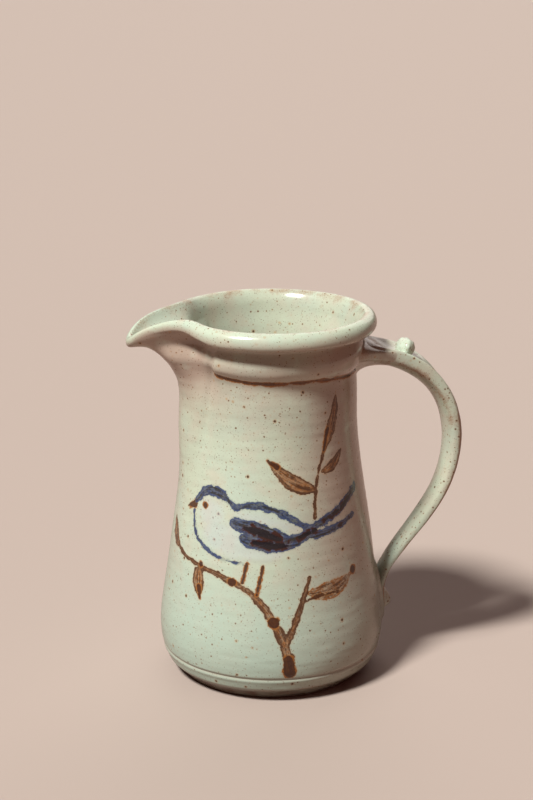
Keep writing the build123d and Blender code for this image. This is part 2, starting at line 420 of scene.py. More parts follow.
def body_faces(rows, columns):
    """Quads of the vessel, closed by one face at the middle of the foot and one of the floor."""
    faces = grid_faces(rows, columns)
    faces.append(tuple(reversed(range(columns))))
    faces.append(tuple(range((rows - 1) * columns, rows * columns)))
    return faces


# ======================================================================= fields for the glaze
def toasted_edges(z, phi, rows, outer, from_collar):
    """Where the glaze runs thin and brown: lip, spout, bevel's edge, collar band and groove."""
    lip_turn = rows - KNOTS_WALL
    edge = 0.56 * lobe(lip_turn - 3.2, 0.9, 2) + 0.25 * lobe(lip_turn - 1.0, 0.5, 2)
    in_spout = lobe(phi, 24, 2) * smooth_step(2.0, 3.5, lip_turn) * (1 - smooth_step(6.0, 8.0, lip_turn))
    edge += 0.10 * in_spout
    edge += 0.55 * lobe(z - BEVEL_HEIGHT, 1.1, 2) * (outer | (rows < 0))
    edge += 0.35 * outer * smooth_step(*ROUND_SIDE, phi) * lobe(from_collar - 2.2, 1.0, 2)
    edge += 0.25 * outer * lobe(z - GROOVE_HEIGHT + 1.6, 0.9, 2)
    return edge


def kiln_blush_and_painted_shade(z, azimuth, phi, rows):
    """Pink-brown tint of the upper wall; painted shade that deepens it over the throat under the spout and
    darkens the right side, which is turned away from the key light; and a trace of warmth inside the mouth."""
    to_right = turned_from(FRONT_AZIMUTH, azimuth)
    # painted shade: from the front round to the right side the wall is darkened pink-brown, away from the key
    # light
    painted_right_shade = smooth_step(2, 46, to_right) * (1 - smooth_step(105, 150, to_right))
    # the lobe beside the spout deepens the tint over the throat as painted shade under the spout's lip
    blush = smooth_step(124, 160, z) * (0.66 + 0.50 * lobe(phi - 20, 22, 2))
    blush = np.maximum(blush, painted_right_shade[None] * (0.30 + 0.66 * smooth_step(30, 95, z)))
    blush *= (rows >= 0) * (1 - smooth_step(KNOTS_WALL - 0.3, KNOTS_WALL + 1.8, rows))
    blush += 0.20 * smooth_step(KNOTS_WALL + 2.5, KNOTS_WALL + 4.5, rows)
    return blush


def stripe_field(azimuth, phi, outer, from_collar):
    """How far inside the iron stripe each point lies; the stripe runs from throat to handle."""
    drift = 0.30 * noise_round(azimuth / 7, 0, 11)
    thick = 0.98 + 0.35 * noise_round(azimuth / 9, 9, 12)
    stripe = thick[None] - np.abs(from_collar + 0.35 + drift[None])
    ends = np.minimum(phi - 42.5, 163 - phi) * 0.75
    stripe = np.where(outer, np.minimum(stripe, ends + 0.8), -4.0)
    return np.clip(stripe, -4, 4)


def painting_fields(z, azimuth, outer):
    """How far inside the paint of each pigment the points lie, and their place in the stroke."""
    across = np.radians(turned_from(FRONT_AZIMUTH, azimuth))[None] * UNROLL_RADIUS + 0 * z
    canvas = np.stack([across.ravel(), z.ravel()], 1)
    on_front = (outer & (np.abs(across) < CANVAS_HALF_WIDTH)).ravel()
    fields = {}
    brush = unpainted(len(canvas))
    for name, marks in painted_marks().items():
        found = unpainted(len(canvas))
        found[on_front] = coverage(canvas[on_front], marks)
        fields[name] = found[:, 0]
        if name != "wash":
            brush = np.where(found[:, :1] > brush[:, :1], found, brush)
    fields["brush_across"] = brush[:, 1]
    fields["brush_along"] = brush[:, 2]
    return fields


def body_fields(grid, azimuth, phi, knot, from_collar):
    """Per-vertex fields that the glaze material reads."""
    z = grid[..., 2]
    rows = knot[:, None] + 0 * z
    outer = (rows >= 0) & (rows <= KNOTS_WALL)
    fields = {
        "edge": toasted_edges(z, phi, rows, outer, from_collar),
        "pool": outer * (lobe(z - GROOVE_HEIGHT, 0.9, 2) + lobe(rows - KNOTS_WALL, 0.5, 2)),
        "bare": (1 - smooth_step(0.5, 1.2, z)) * (rows < 0),
        "blush": kiln_blush_and_painted_shade(z, azimuth, phi, rows),
        "stripe": stripe_field(azimuth, phi, outer, from_collar),
    }
    fields.update(painting_fields(z, azimuth, outer))
    return {name: values.ravel() for name, values in fields.items()}


# ======================================================================= painted decoration
def stroke(points, widths):
    """A brush stroke: a smooth line through points with a half width at each of them."""
    knots = np.array([points], float)
    where = np.linspace(0, len(points) - 1, 6 * (len(points) - 1) + 1)
    line = spline(knots, where)[0]
    return line, np.interp(where, np.arange(len(points)), widths)


def leaf(base, tip, width, bend):
    """An almond-shaped brush leaf from base to tip; bend bows its midrib sideways."""
    base, tip = np.array(base, float), np.array(tip, float)
    side = np.array([base[1] - tip[1], tip[0] - base[0]])
    share = np.linspace(0, 1, 15)[:, None]
    line = base + (tip - base) * share + side * bend * np.sin(pi * share)
    return line, width * np.sin(pi * share[:, 0] ** 0.85) ** 0.8 + 0.15


def dot(x, z, radius):
    """A round dab of the brush."""
    return np.array([[x, z], [x + 0.01, z]]), np.array([radius, radius])


def unpainted(count):
    """Depth inside a mark, place across it and place along it, for points far from any mark."""
    return np.zeros((count, 3)) - [4, 0, 0]


def coverage(canvas, marks):
    """How far inside the nearest mark each point lies (negative is outside), with its place across
    and along that mark, which the bristle streaks follow."""
    best = unpainted(len(canvas))
    for index, (line, width) in enumerate(marks):
        low = line.min(0) - width.max() - 4
        high = line.max(0) + width.max() + 4
        near = np.nonzero(np.all((canvas > low) & (canvas < high), axis=1))[0]
        along = 40.0 * index
        for start, end, start_width, end_width in zip(line[:-1], line[1:], width[:-1], width[1:]):
            run = end - start
            length = np.linalg.norm(run)
            spot = canvas[near] - start
            share = np.clip(spot @ run / max(length ** 2, 1e-9), 0, 1)
            gap = np.linalg.norm(spot - share[:, None] * run, axis=1)
            side = np.sign(spot[:, 0] * run[1] - spot[:, 1] * run[0]) * gap
            local = start_width + (end_width - start_width) * share
            across = side * width.max() / np.maximum(local, 0.3)
            found = np.stack([local - gap, across, along + share * length], 1)
            better = found[:, 0] > best[near, 0]
            best[near[better]] = found[better]
            along += length
    return best


def painted_marks():
    """A plain songbird on a leafy twig, in millimetres across and up the front of the wall."""
    twig = [
        stroke([(8, 18), (6, 30), (1, 42), (-7, 53), (-19, 60), (-35, 64), (-52, 67), (-66, 73)],
               [2.6, 2.4, 2.0, 1.7, 1.6, 1.2, 1.0, 0.8]),
        stroke([(6, 30), (12, 45), (18, 62)], [1.7, 1.5, 1.1]),
        stroke([(23, 90), (24, 101), (27, 112), (32, 123)], [0.9, 1.0, 0.9, 0.8]),
        stroke([(14, 51), (24, 53), (33, 53)], [0.8, 0.7, 0.6]),
    ]
    leaves = [
        leaf((31, 121), (41, 148), 3.4, -0.06),
        leaf((25, 103), (-2, 118), 3.9, 0.08),
        leaf((28, 111), (45, 120), 2.6, -0.10),
        leaf((-38, 64), (-36, 49), 3.4, -0.06),
        leaf((-56, 68), (-66, 82), 3.0, 0.10),
    ]
    thin_leaf = [leaf((17, 55), (43, 60), 4.2, -0.10)]
    dark_twig = [
        stroke([(8, 17), (7, 24)], [3.0, 2.3]),
        stroke([(31, 121), (34, 131)], [1.0, 1.5]),
        stroke([(-2, 118), (3, 115.5)], [1.2, 1.7]),
        stroke([(-36, 49), (-37, 54)], [1.1, 1.7]),
    ]
    beak_and_legs = [
        stroke([(-52.5, 90), (-46, 92.5)], [0.6, 2.2]),
        stroke([(-12, 69.5), (-14, 60)], [0.95, 0.95]),
        stroke([(-4, 69), (-7, 55)], [0.95, 0.95]),
    ]
    buds_and_eye = [
        dot(1, 42, 3.0),
        dot(-19, 60, 2.4),
        dot(-37, 65, 1.7),
        dot(44, 61, 2.2),
        dot(-38, 93.5, 1.7),
    ]
    outline = [
        stroke([(-45, 94.5), (-38, 100.5), (-29, 101), (-20, 95.5)], [1.3, 2.5, 2.5, 1.3]),
        stroke([(-19, 95), (-8, 97), (5, 93.5), (18, 86.5)], [1.3, 1.8, 1.7, 1.2]),
        stroke([(-46, 89), (-44, 81), (-37, 74.5), (-26, 70.5), (-14, 69.5)], [0.8, 1.0, 0.9, 0.8, 0.6]),
    ]
    wing = [
        stroke([(-19, 88), (-7, 85.5), (7, 82)], [2.8, 4.3, 2.4]),
        stroke([(-14, 81), (-2, 79), (13, 79.5)], [2.6, 4.0, 2.2]),
        stroke([(4, 79), (12, 81), (20, 83)], [3.2, 3.2, 2.2]),
    ]
    tail = [
        stroke([(18, 85), (34, 90), (54, 99)], [1.9, 2.3, 2.2]),
        stroke([(18, 82), (34, 83), (49, 87)], [1.9, 1.9, 1.3]),
    ]
    dark_feathers = [
        stroke([(-14, 86.5), (-5, 84.5), (4, 81.5)], [1.4, 2.6, 1.6]),
        stroke([(-9, 80), (0, 78.5), (9, 79)], [1.4, 2.4, 1.4]),
        stroke([(14, 82), (23, 84.5)], [1.5, 1.4]),
        stroke([(28, 88), (41, 92.5), (52, 98)], [1.0, 1.4, 1.2]),
        stroke([(37, 83.5), (46, 86)], [0.8, 0.8]),
    ]
    breast = [
        stroke([(-36, 91), (-32, 90)], [7.0, 7.5]),
        stroke([(-31, 82), (-18, 79), (0, 76)], [7.5, 9.0, 5.5]),
        stroke([(-16, 91), (-2, 90), (12, 86)], [3.5, 4.0, 2.0]),
    ]
    return {
        "dry_iron": twig + leaves,
        "pale_iron": thin_leaf,
        "iron": dark_twig + beak_and_legs + buds_and_eye,
        "cobalt": outline + wing + tail,
        "black": dark_feathers,
        "wash": breast,
    }


# ======================================================================= handle
def strap_frames(places):
    """Centre, direction and outward normal of the strap at places 0 (root) to 1 (tail)."""
    knots = np.array([STRAP_SPINE], float)
    dense = spline(knots, np.linspace(0, len(STRAP_SPINE) - 1, 1200))[0]
    run = np.concatenate([[0], np.cumsum(np.linalg.norm(np.diff(dense, axis=0), axis=1))])

    def spine_at(shares):
        """Points (x, z) at shares of the spine's length."""
        return np.stack([np.interp(shares * run[-1], run, dense[:, axis]) for axis in (0, 1)], 1)

    line = spine_at(places)
    along = spine_at(np.minimum(places + 0.004, 1)) - spine_at(np.maximum(places - 0.004, 0))
    along /= np.linalg.norm(along, axis=1, keepdims=True)
    centre = np.stack([line[:, 0], 0 * places, line[:, 1]], 1)
    direction = np.stack([along[:, 0], 0 * places, along[:, 1]], 1)
    normal = np.stack([-along[:, 1], 0 * places, along[:, 0]], 1)
    return centre, direction, normal


def strap_outline(place, turns):
    """Offsets across and outward of the strap's section at a place, for angles turns."""
    taper = min(place / TAIL_START, 1.0)
    tail = max(0.0, (place - TAIL_START) / (1 - TAIL_START))
    width = STRAP_WIDTH[0] + (STRAP_WIDTH[1] - STRAP_WIDTH[0]) * taper
    width += TAIL_FLARE * sin(pi / 2 * tail) + ROOT_FLARE * float(lobe(place, 0.05, 2))
    thick = STRAP_THICKNESS[0] + (STRAP_THICKNESS[1] - STRAP_THICKNESS[0]) * taper
    shrink = float(np.sqrt(1 - smooth_step(0.93, 1.0, place) ** 2 * 0.96))
    near_root = 1 - smooth_step(0.15, 0.45, place)
    channel = (CHANNEL_DEPTH + ROOT_CHANNEL_EXTRA * near_root) * smooth_step(0.02, 0.10, place) * (1 - tail)
    across = width / 2 * shrink * np.cos(turns)
    side = np.sin(turns)
    outer = side > 0
    fullness = np.where(outer, 0.95 - 0.38 * near_root, 0.75)
    lift = np.sign(side) * thick / 2 * shrink * np.abs(side) ** fullness
    lift -= np.where(outer, channel * (1 - np.abs(np.cos(turns)) ** 2.5), 0)
    lift -= np.where(outer, 0, UNDERSIDE_HOLLOW * lobe(place - 0.17, 0.10, 2) * np.abs(side))
    down = place - TAIL_LUMP_PLACE
    lump = TAIL_LUMP_HEIGHT * lobe(across - TAIL_LUMP_SIDE, TAIL_LUMP_RADIUS, 2.4)
    lump = lump * lobe(down, 0.04 if down < 0 else 0.018, 2.2)
    groove = THUMB_GROOVE_DEPTH * lobe(across - THUMB_GROOVE_SIDE, 2.4, 2)
    groove = groove * lobe(place - THUMB_GROOVE_PLACE, 0.05, 2)
    return across, lift + np.where(outer, (lump - groove) * np.abs(side) ** 0.5, 0)


def strap_mesh():
    """The pulled strap: two soft ridges, a channel between them and a thumb-pressed tail."""
    turns = 2 * pi * np.arange(STRAP_COLUMNS) / STRAP_COLUMNS
    places = np.linspace(0.0, 1.0, STRAP_ROWS)
    centre, _, normal = strap_frames(places)
    grid = np.zeros((STRAP_ROWS, STRAP_COLUMNS, 3))
    for i, place in enumerate(places):
        across, lift = strap_outline(place, turns)
        grid[i] = centre[i] + normal[i] * lift[:, None]
        grid[i, :, 1] = across
    flat = grid.reshape(-1, 3)
    push = 0.22 * value_noise(flat / 15.0, 21) + 0.06 * value_noise(flat / 4.0, 22)
    pulled = np.stack([np.tile(turns * 5.2, STRAP_ROWS), np.repeat(places * 5, STRAP_COLUMNS),
                       np.zeros(len(flat))], 1)
    push = (push + 0.07 * value_noise(pulled, 23)).reshape(grid.shape[:2])
    grid = grid + grid_normals(grid) * -push[..., None]
    points, faces = capped(grid)
    # painted shade: near its root, under the lip, the strap is darkened pink-brown
    blush = np.repeat(0.12 + 0.65 * (1 - smooth_step(0.06, 0.15, places)), STRAP_COLUMNS)
    fields = {"edge": np.append(strap_edges(places, turns), [0, 0.3]), "blush": np.append(blush, [0, 0])}
    return new_mesh("handle_strap", points, faces, fields)


def strap_edges(places, turns):
    """Where the strap browns: its two crests, where the glaze runs thin, and below them near the root, as
    thin glaze and painted shade of the underside.
    """
    crest = lobe(turns - 0.18 * pi, 0.52, 2.2) + lobe(turns - 0.82 * pi, 0.52, 2.2)
    crest += 0.3 * smooth_step(0.2, 0.8, np.sin(turns))
    # painted shade: the band under the strap near its root also stands for the shade of its underside
    under = lobe(turns - 1.12 * pi, 0.30, 2) + lobe(turns - 1.88 * pi, 0.30, 2)
    past_root = smooth_step(0.22, 0.40, places)
    at_root = smooth_step(0.06, 0.14, places) * (1 - smooth_step(0.3, 0.5, places))
    return (1.25 * np.outer(past_root, crest) + 0.70 * np.outer(at_root, under)).ravel()


def capped(grid):
    """Points and faces of a tube of rows, closed by a point in the middle of each end."""
    rows, columns, _ = grid.shape
    points = np.concatenate([grid.reshape(-1, 3), [grid[0].mean(0), grid[-1].mean(0)]])
    first, last = len(points) - 2, len(points) - 1
    faces = grid_faces(rows, columns)
    for col in range(columns):
        near = (col + 1) % columns
        faces.append((first, near, col))
        faces.append((last, (rows - 1) * columns + col, (rows - 1) * columns + near))
    return points, faces


def collar_radius(z):
    """Radius of the round wall at a height near the collar."""
    wall = np.array([knot[:2] for knot in UPPER_WALL])
    dense = spline(wall[None], np.linspace(0, len(wall) - 1, 200))[0]
    return np.interp(z, dense[:, 1], dense[:, 0])


def joint_coil_mesh():
    """Clay worked from the collar up on to the strap's root, leaving each surface smoothly."""
    turns = 2 * pi * np.arange(COIL_COLUMNS) / COIL_COLUMNS
    side = np.sin(turns)
    below = np.maximum(-side, 0)
    centre, direction, normal = strap_frames(np.array([COIL_ROOT_PLACE, COIL_JOIN_PLACE]))

    # The ring on the collar: the strap's section, spread wider and much further down.
    across, lift = strap_outline(COIL_ROOT_PLACE, turns)
    wander = 1 + 0.22 * value_noise(np.stack([turns * 1.6, 0 * turns, 0 * turns + 4], 1), 31)
    spread = np.where(side > 0, 1.6, 8.2 * below ** 0.8) * wander
    y = across * (1 - 0.12 * below) + (7.5 - 3.0 * below) * wander * np.cos(turns)
    z = centre[0, 2] + lift + spread * side ** 2 * np.sign(side)
    x = np.sqrt(np.maximum((collar_radius(z) - 0.3) ** 2 - y ** 2, 1))
    wall = np.stack([x, y, z], 1)

    # The ring on the strap lies just under its skin.
    across, lift = strap_outline(COIL_JOIN_PLACE, turns)
    sink = np.where(side > 0, 1.5, 0.35) * side
    strap = centre[1] + normal[1] * (lift - sink)[:, None]
    strap[:, 1] = across * 0.97

    # A cubic blend that leaves the collar along its surface and meets the strap along its run.
    inward = (centre[0] - wall) * [0, 1, 1]
    out = wall * [1, 1, 0]
    out /= np.linalg.norm(out, axis=1, keepdims=True)
    start = inward - out * (inward * out).sum(1, keepdims=True)
    start = start / np.linalg.norm(start, axis=1, keepdims=True) * (11 + 7 * below)[:, None] + out * 1.5
    end = np.tile(direction[1], (COIL_COLUMNS, 1)) * 17
    shares = np.linspace(0, 1, COIL_ROWS)
    grid = np.array([(2 * s ** 3 - 3 * s ** 2 + 1) * wall + (s ** 3 - 2 * s ** 2 + s) * start
                     + (-2 * s ** 3 + 3 * s ** 2) * strap + (s ** 3 - s ** 2) * end for s in shares])

    flat = grid.reshape(-1, 3)
    push = 0.16 * value_noise(flat / 5.0, 33) + 0.10 * value_noise(flat / np.array([5.0, 5.0, 1.3]), 34)
    fade = np.sin(pi * shares)[:, None]
    grid = grid + grid_normals(grid) * -(push.reshape(grid.shape[:2]) * fade)[..., None]
    edge = 0.30 + 0.25 * value_noise(flat / 6.0, 35)
    points, faces = capped(grid)
    # the coil's pink-brown tint is partly painted shade under the lip
    fields = {"edge": np.append(edge, [0, 0]), "blush": np.full(len(points), 0.75)}
    return new_mesh("handle_root_coil", points, faces, fields)


def thumb_stop_mesh():
    """A pellet of clay flattened into the channel, with the dents of the thumb that set it."""
    centre, direction, normal = strap_frames(np.array([STOP_PLACE]))
    _, lift = strap_outline(STOP_PLACE, np.array([pi / 2]))
    rows, columns = 40, 64
    tilt = np.linspace(0.001, pi - 0.001, rows)[:, None]
    turn = 2 * pi * np.arange(columns)[None] / columns
    ball = np.stack([np.sin(tilt) * np.cos(turn), np.sin(tilt) * np.sin(turn), np.cos(tilt) + 0 * turn], 2)
    flat = ball.reshape(-1, 3)
    lump = 1 + 0.14 * value_noise(flat * 1.2 + 5, 41) + 0.07 * value_noise(flat * 3.1, 42)
    size = flat * lump[:, None] * np.array(STOP_SIZE)
    seat = centre[0] + normal[0] * (lift[0] + STOP_LIFT)
    points = seat + size[:, :1] * direction[0] + size[:, 1:2] * np.array([0, 1, 0]) + size[:, 2:] * normal[0]
    faces = grid_faces(rows, columns)
    faces.append(tuple(range(columns)))
    faces.append(tuple(reversed(range((rows - 1) * columns, rows * columns))))
    return new_mesh("thumb_pellet", points, faces, {"edge": 0.4 * smooth_step(0.2, 0.9, flat[:, 2])})


# ======================================================================= materials
CREAM = (0.600, 0.652, 0.515)
CREAM_WARM = (0.625, 0.575, 0.465)
CREAM_COOL = (0.560, 0.640, 0.530)
CREAM_LOW_SHADE = (0.440, 0.545, 0.465)
CREAM_BLUSH_AND_SHADE = (0.455, 0.338, 0.275)
GREY_GRAIN = (0.400, 0.300, 0.240)
BEVEL_BROWN_AND_SHADE = (0.170, 0.118, 0.090)
TOAST_AND_SHADE = (0.300, 0.115, 0.045)
RUST_SPECK = (0.150, 0.055, 0.022)
DARK_SPECK = (0.060, 0.022, 0.012)
AMBER = (0.480, 0.220, 0.060)
BARE_CLAY = (0.300, 0.190, 0.120)
BARE_CLAY_LIGHT = (0.42, 0.29, 0.19)
IRON_RIM = (0.075, 0.020, 0.004)
IRON_WASH = (0.330, 0.110, 0.018)
IRON_MID = (0.210, 0.072, 0.014)
IRON_DARK = (0.048, 0.013, 0.008)
COBALT_BLUE = (0.032, 0.056, 0.160)
COBALT_GREY = (0.150, 0.165, 0.150)
SOOT = (0.012, 0.009, 0.012)
BLUE_WHITE = (0.560, 0.600, 0.660)

GLAZE_IOR = 1.58
GLAZE_ROUGHNESS = 0.11
BEVEL_TOP = 0.0085
BEVEL_TINTED = 0.0045

# Iron specks: size of a cell, radius, share of cells with a speck and softness, in millimetres.
TINY_SPECKS = (1.05, 0.18, 0.75, 0.05)
SMALL_SPECKS = (2.5, 0.30, 0.62, 0.07)
SMALL_SPECKS_ON_HANDLE = (2.0, 0.35, 0.70, 0.07)
LARGE_SPECKS = (6.5, 0.52, 0.50, 0.09)

# Pigments in the order they are laid: field, tones of the rim, the core and the light patches in
# the core, width of the rim in millimetres, fray of the edge, thinnest cover, tone of the halo.
PIGMENTS = [
    ("pale_iron", IRON_WASH, IRON_RIM, IRON_WASH, 1.0, 0.9, 0.12, AMBER),
    ("dry_iron", IRON_RIM, IRON_RIM, IRON_WASH, 1.7, 0.8, 0.58, AMBER),
    ("stripe", IRON_WASH, IRON_RIM, IRON_MID, 0.8, 0.55, 0.92, AMBER),
    ("iron", IRON_WASH, IRON_DARK, IRON_RIM, 0.55, 0.8, 0.95, AMBER),
    ("cobalt", COBALT_BLUE, SOOT, COBALT_BLUE, 1.0, 0.9, 0.74, COBALT_GREY),
    ("black", IRON_DARK, SOOT, SOOT, 1.0, 2.0, 0.96, IRON_RIM),
]
FULL_COVER = 0.95


class Nodes:
    """Adds and links the shader nodes of a material or the world; a value may be a number, a colour
    or a socket."""

    def __init__(self, owner):
        owner.use_nodes = True
        self.tree = owner.node_tree
        self.tree.nodes.clear()

    def feed(self, socket, value):
        if isinstance(value, bpy.types.NodeSocket):
            self.tree.links.new(value, socket)
        elif value is not None:
            if hasattr(socket.default_value, "__len__") and not hasattr(value, "__len__"):
                value = (value,) * len(socket.default_value)
            if hasattr(value, "__len__") and len(value) == 3 and len(socket.default_value) == 4:
                value = (*value, 1)
            socket.default_value = value

    def add(self, kind, inputs=None, **settings):
        node = self.tree.nodes.new(kind)
        for key, value in settings.items():
            setattr(node, key, value)
        for key, value in (inputs or {}).items():
            self.feed(node.inputs[key], value)
        return node

    def finish(self, shader, kind):
        """Links a shader to the output node of this kind."""
        self.tree.links.new(shader.outputs[0], self.add(kind).inputs["Surface"])

    def math(self, operation, a, b=None, c=None):
        return self.add("ShaderNodeMath", {0: a, 1: b, 2: c}, operation=operation).outputs[0]

    def vector(self, operation, inputs):
        return self.add("ShaderNodeVectorMath", inputs, operation=operation).outputs[0]

    def field(self, name):
        return self.add("ShaderNodeAttribute", attribute_name=name).outputs["Fac"]

    def step(self, value, low, high):
        node = self.add("ShaderNodeMapRange", {"Value": value, "From Min": low, "From Max": high},
                        interpolation_type="SMOOTHSTEP")
        return node.outputs["Result"]

    def swing(self, value, amount):
        """Noise of 0..1 turned into a swing round 0."""
        return self.math("MULTIPLY", self.math("SUBTRACT", value, 0.5), amount)

    def mix(self, factor, a, b):
        node = self.add("ShaderNodeMix", data_type="RGBA", blend_type="MIX")
        self.feed(node.inputs["Factor"], factor)
        self.feed(node.inputs[6], a)
        self.feed(node.inputs[7], b)
        return node.outputs[2]

    def noise(self, where, size_mm, detail=2.0, rough=0.5, distortion=0.0):
        node = self.add("ShaderNodeTexNoise", {"Vector": where, "Scale": 1 / (size_mm * MM), "Detail": detail,
                                               "Roughness": rough, "Distortion": distortion})
        return node.outputs["Fac"]


def speck_layer(nodes, where, cell_mm, radius_mm, keep, soft_mm):
    """Round specks of random size scattered through the glaze, and the halo around each."""
    cells = nodes.add("ShaderNodeTexVoronoi", {"Vector": where, "Scale": 1 / (cell_mm * MM)})
    chance = nodes.add("ShaderNodeSeparateColor", {"Color": cells.outputs["Color"]})
    kept = nodes.math("LESS_THAN", chance.outputs[0], keep)
    size = nodes.math("MULTIPLY_ADD", chance.outputs[1], radius_mm / cell_mm, 0.4 * radius_mm / cell_mm)
    depth = nodes.math("SUBTRACT", size, cells.outputs["Distance"])
    speck = nodes.math("MULTIPLY", nodes.step(depth, -soft_mm / cell_mm, soft_mm / cell_mm), kept)
    halo = nodes.math("MULTIPLY", nodes.step(depth, -1.5 * radius_mm / cell_mm, 0.0), kept)
    return speck, halo


def cream_glaze(nodes, place, height, patch, grain):
    """The glaze's colour: cloudy cream, dusted with grey, darker and cooler low on the wall as painted shade,
    blushed pink-brown with painted shade on the throat, the right side and the handle root, and toasted on
    its edges, with painted shade in the toast under the strap's root.
    """
    cloud = nodes.noise(place, 34, 3)
    colour = nodes.mix(nodes.step(cloud, 0.35, 0.65), CREAM_COOL, CREAM)
    colour = nodes.mix(nodes.math("MULTIPLY", nodes.step(patch, 0.40, 0.72), 0.6), colour, CREAM_WARM)
    # painted shade: low on the wall the cream turns darker and cooler
    colour = nodes.mix(nodes.math("MULTIPLY", nodes.step(height, 0.09, 0.02), 0.8), colour, CREAM_LOW_SHADE)
    dusty = nodes.math("MULTIPLY_ADD", nodes.field("blush"), 0.42, 0.32)
    colour = nodes.mix(nodes.math("MULTIPLY", nodes.step(grain, 0.50, 0.78), dusty), colour, GREY_GRAIN)
    # painted shade: this field darkens the throat, the right side and the handle root, as well as tinting the
    # upper wall
    blush = nodes.math("MULTIPLY", nodes.field("blush"), nodes.step(patch, 0.0, 0.50))
    colour = nodes.mix(nodes.math("MULTIPLY", blush, 0.94), colour, CREAM_BLUSH_AND_SHADE)
    edge = nodes.math("MULTIPLY_ADD", nodes.math("SUBTRACT", patch, 0.5), 1.1, nodes.field("edge"))
    edge = nodes.math("MULTIPLY_ADD", nodes.math("SUBTRACT", grain, 0.5), 0.8, edge)
    # the toast colour also serves as painted shade under the strap's root
    colour = nodes.mix(nodes.math("MULTIPLY", nodes.step(edge, 0.30, 1.0), 0.75), colour, TOAST_AND_SHADE)
    return nodes.mix(nodes.math("MULTIPLY", nodes.field("pool"), 0.55), colour, GREY_GRAIN)


def specked(nodes, place, patch, colour, small_specks):
    """The colour with iron specks in three sizes, and the larger specks for the relief."""
    drift = nodes.add("ShaderNodeTexNoise", {"Vector": place, "Scale": 1 / (1.6 * MM), "Detail": 1.0})
    nudge = nodes.vector("SUBTRACT", {0: drift.outputs["Color"], 1: (0.5, 0.5, 0.5)})
    nudge = nodes.vector("SCALE", {0: nudge, "Scale": 0.5 * MM})
    where = nodes.vector("ADD", {0: place, 1: nudge})
    tiny, _ = speck_layer(nodes, where, *TINY_SPECKS)
    small, small_halo = speck_layer(nodes, where, *small_specks)
    large, large_halo = speck_layer(nodes, where, *LARGE_SPECKS)
    halo = nodes.math("MAXIMUM", nodes.math("MULTIPLY", small_halo, 0.22),
                      nodes.math("MULTIPLY", large_halo, 0.5))
    colour = nodes.mix(halo, colour, AMBER)
    colour = nodes.mix(nodes.math("MULTIPLY", tiny, 0.68), colour, RUST_SPECK)
    speck_tone = nodes.mix(patch, RUST_SPECK, DARK_SPECK)
    colour = nodes.mix(nodes.math("MULTIPLY", small, 0.85), colour, speck_tone)
    colour = nodes.mix(nodes.math("MULTIPLY", large, 0.92), colour, DARK_SPECK)
    return colour, nodes.math("MAXIMUM", small, large)


def bare_foot(nodes, place, height, patch, colour, rough):
    """The bevel, browner in its glaze and darkened further as painted shade on its downward slope, and the
    unglazed clay of the foot.
    """
    below_edge = nodes.step(height, BEVEL_TOP, BEVEL_TINTED)
    # painted shade: the downward-facing bevel is darkened as well as browned
    bevel = nodes.math("MULTIPLY", below_edge, nodes.math("SUBTRACT", 1.30, patch))
    colour = nodes.mix(bevel, colour, BEVEL_BROWN_AND_SHADE)
    ragged = nodes.math("MULTIPLY_ADD", nodes.noise(place, 3), 0.3, nodes.field("bare"))
    bare = nodes.step(ragged, 0.45, 0.75)
    clay = nodes.mix(nodes.noise(place, 0.7, 4), BARE_CLAY, BARE_CLAY_LIGHT)
    return nodes.mix(bare, colour, clay), nodes.math("MULTIPLY_ADD", bare, 0.5, rough)


def glaze_material(name, painted):
    """Satin cream glaze with iron specks; painted adds the stripe, the brushwork and the foot."""
    material = bpy.data.materials.new(name)
    nodes = Nodes(material)
    place = nodes.add("ShaderNodeTexCoord").outputs["Object"]
    height = nodes.add("ShaderNodeSeparateXYZ", {"Vector": place}).outputs["Z"]
    patch = nodes.noise(place, 9, 3)
    grain = nodes.noise(place, 0.7, 3, 0.65)
    colour = cream_glaze(nodes, place, height, patch, grain)
    small_specks = SMALL_SPECKS if painted else SMALL_SPECKS_ON_HANDLE
    colour, pits = specked(nodes, place, patch, colour, small_specks)
    rough = nodes.math("MULTIPLY_ADD", nodes.noise(place, 5, 2), 0.14, GLAZE_ROUGHNESS)
    relief = nodes.math("MULTIPLY_ADD", nodes.noise(place, 2.6, 2), 0.30, nodes.math("MULTIPLY", grain, 0.08))
    relief = nodes.math("MULTIPLY_ADD", pits, -0.16, relief)
    if painted:
        colour, relief = brushwork(nodes, place, grain, colour, relief)
        colour, rough = bare_foot(nodes, place, height, patch, colour, rough)
    bump = nodes.add("ShaderNodeBump", {"Height": relief, "Distance": 0.35 * MM, "Strength": 0.45})
    shader = nodes.add("ShaderNodeBsdfPrincipled", {"Base Color": colour, "Roughness": rough,
                                                    "IOR": GLAZE_IOR, "Normal": bump.outputs[0]})
    nodes.finish(shader, "ShaderNodeOutputMaterial")
    return material


